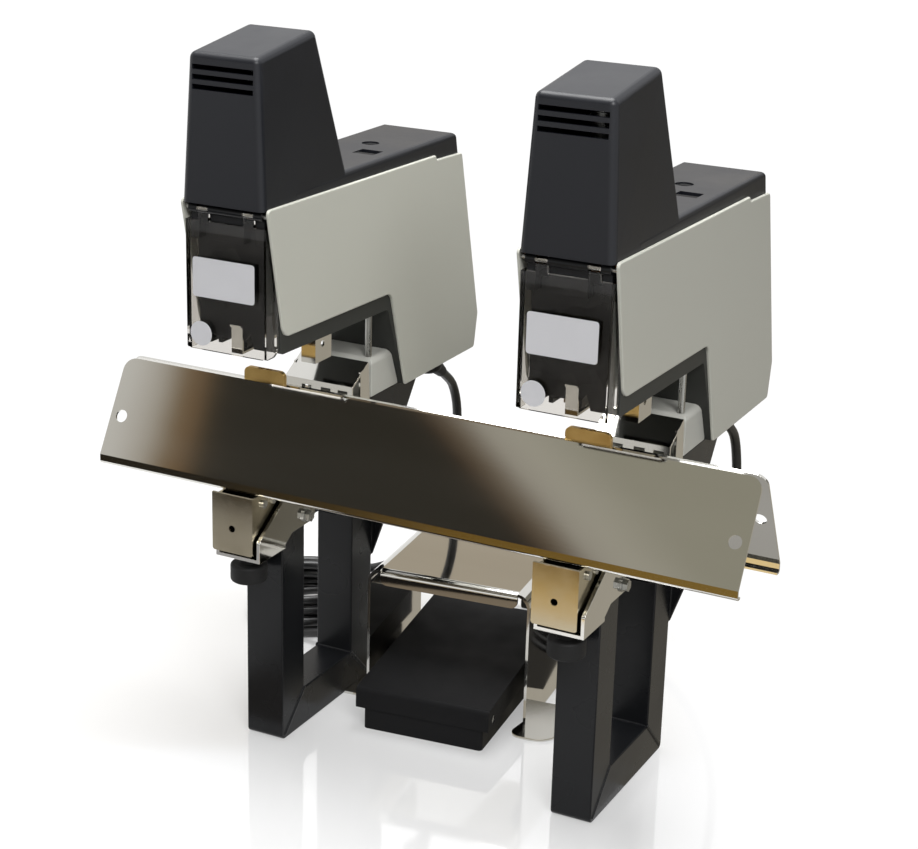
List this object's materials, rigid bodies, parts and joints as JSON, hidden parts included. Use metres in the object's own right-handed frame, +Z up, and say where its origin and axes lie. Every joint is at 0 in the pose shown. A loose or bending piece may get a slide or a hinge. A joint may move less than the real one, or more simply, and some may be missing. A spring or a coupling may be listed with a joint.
{
  "type": "saddle stapler",
  "caption": "Electric saddle stapler: stapling heads over a folded chrome saddle, on square tube legs, with clear finger guards and a hooded foot pedal.",
  "frame": {"origin": "on the floor, in the middle of the machine's box without its cords", "axes": "+X along the saddle to the right head as the operator sees it, +Y from the operator to the back, +Z up"},
  "size_m": [0.4944, 0.376, 0.512],
  "materials": {
    "black_paint": "satin black paint",
    "grey_paint": "light warm grey paint",
    "chrome": "polished chrome plate",
    "gold_chrome": "yellow passivated plate",
    "steel": "plain bright steel",
    "charcoal_plastic": "fine grain charcoal moulding",
    "grey_plastic": "light grey moulding",
    "black_plastic": "black moulding",
    "clear_acrylic": "clear acrylic",
    "copper_winding": "enamelled copper winding in a steel yoke",
    "rubber": "black flexible rubber"
  },
  "bodies": {
    "stand": {"left_leg_frame": "black_paint", "left_base_channel": "chrome", "left_saddle_carrier": "gold_chrome", "left_lower_arm": "black_paint", "left_body_frame": "black_paint", "left_unit_left_panel": "grey_paint", "left_unit_right_panel": "grey_paint", "left_top_cover": "charcoal_plastic", "left_hinge_rod": "steel", "left_head_housing": "black_paint", "left_solenoid": "copper_winding", "left_return_spring": "steel", "left_rear_guide": "chrome", "left_arm_cover": "grey_plastic", "left_anvil": "gold_chrome", "left_cord_gland": "rubber", "left_cord": "rubber", "left_cord_coil": "rubber", "left_plug": "rubber", "right_leg_frame": "black_paint", "right_base_channel": "chrome", "right_saddle_carrier": "gold_chrome", "right_lower_arm": "black_paint", "right_body_frame": "black_paint", "right_unit_left_panel": "grey_paint", "right_unit_right_panel": "grey_paint", "right_top_cover": "charcoal_plastic", "right_hinge_rod": "steel", "right_head_housing": "black_paint", "right_solenoid": "copper_winding", "right_return_spring": "steel", "right_rear_guide": "chrome", "right_arm_cover": "grey_plastic", "right_anvil": "gold_chrome", "right_cord_gland": "rubber", "right_cord": "rubber", "right_cord_coil": "rubber", "right_plug": "rubber", "saddle_front_plate": "chrome", "saddle_rear_plate": "chrome", "rubber_feet": "rubber", "bolts": "steel", "throat_rods": "steel", "pedal_base": "black_plastic", "pedal_pin": "steel", "pedal_spring": "steel", "pedal_hood": "chrome"},
    "left_guard": {"left_finger_guard": "clear_acrylic"},
    "left_driver": {"left_driver": "steel"},
    "left_magazine": {"left_magazine": "chrome"},
    "left_pusher": {"left_staple_pusher": "steel"},
    "left_switch": {"left_power_switch": "black_plastic"},
    "left_dial": {"left_force_dial": "black_plastic"},
    "right_guard": {"right_finger_guard": "clear_acrylic"},
    "right_driver": {"right_driver": "steel"},
    "right_magazine": {"right_magazine": "chrome"},
    "right_pusher": {"right_staple_pusher": "steel"},
    "right_switch": {"right_power_switch": "black_plastic"},
    "right_dial": {"right_force_dial": "black_plastic"},
    "treadle": {"pedal_treadle": "black_plastic"}
  },
  "joints": [
    {"name": "left_guard_lift", "type": "hinge", "parent": "stand", "child": "left_guard", "pos_m": [-0.122, -0.154, 0.4005], "axis": [-1, 0, 0], "range_deg": [0, 85]},
    {"name": "left_driver_stroke", "type": "slide", "parent": "stand", "child": "left_driver", "axis": [0, 0, -1], "range_m": [0, 0.0255], "stiffness_N_per_m": 600, "springref_m": -0.02, "deforming": ["left_return_spring"]},
    {"name": "left_magazine_stroke", "type": "slide", "parent": "stand", "child": "left_magazine", "axis": [0, 0, -1], "range_m": [0, 0.02]},
    {"name": "left_pusher_feed", "type": "slide", "parent": "left_magazine", "child": "left_pusher", "axis": [0, -1, 0], "range_m": [0, 0.046]},
    {"name": "left_switch_rock", "type": "hinge", "parent": "stand", "child": "left_switch", "pos_m": [-0.11, 0.0105, 0.409], "axis": [1, 0, 0], "range_deg": [0, 16]},
    {"name": "left_dial_turn", "type": "hinge", "parent": "stand", "child": "left_dial", "pos_m": [-0.124, 0.0395, 0.41], "axis": [0, 0, 1], "range_deg": [0, 270]},
    {"name": "right_guard_lift", "type": "hinge", "parent": "stand", "child": "right_guard", "pos_m": [0.122, -0.154, 0.4005], "axis": [-1, 0, 0], "range_deg": [0, 85]},
    {"name": "right_driver_stroke", "type": "slide", "parent": "stand", "child": "right_driver", "axis": [0, 0, -1], "range_m": [0, 0.0255], "stiffness_N_per_m": 600, "springref_m": -0.02, "deforming": ["right_return_spring"]},
    {"name": "right_magazine_stroke", "type": "slide", "parent": "stand", "child": "right_magazine", "axis": [0, 0, -1], "range_m": [0, 0.02]},
    {"name": "right_pusher_feed", "type": "slide", "parent": "right_magazine", "child": "right_pusher", "axis": [0, -1, 0], "range_m": [0, 0.046]},
    {"name": "right_switch_rock", "type": "hinge", "parent": "stand", "child": "right_switch", "pos_m": [0.134, 0.0105, 0.409], "axis": [1, 0, 0], "range_deg": [0, 16]},
    {"name": "right_dial_turn", "type": "hinge", "parent": "stand", "child": "right_dial", "pos_m": [0.12, 0.0395, 0.41], "axis": [0, 0, 1], "range_deg": [0, 270]},
    {"name": "treadle_press", "type": "hinge", "parent": "stand", "child": "treadle", "pos_m": [-0.02094, -0.04955, 0.023], "axis": [-0.9945, -0.1045, 0], "range_deg": [0, 5.5], "stiffness_Nm_per_rad": 8, "springref_deg": -1.72, "deforming": ["pedal_spring"]}
  ],
  "couplings": [
    {"joint": "left_magazine_stroke", "follows": "left_driver_stroke", "ratio": 0.78431},
    {"joint": "right_magazine_stroke", "follows": "right_driver_stroke", "ratio": 0.78431}
  ]
}
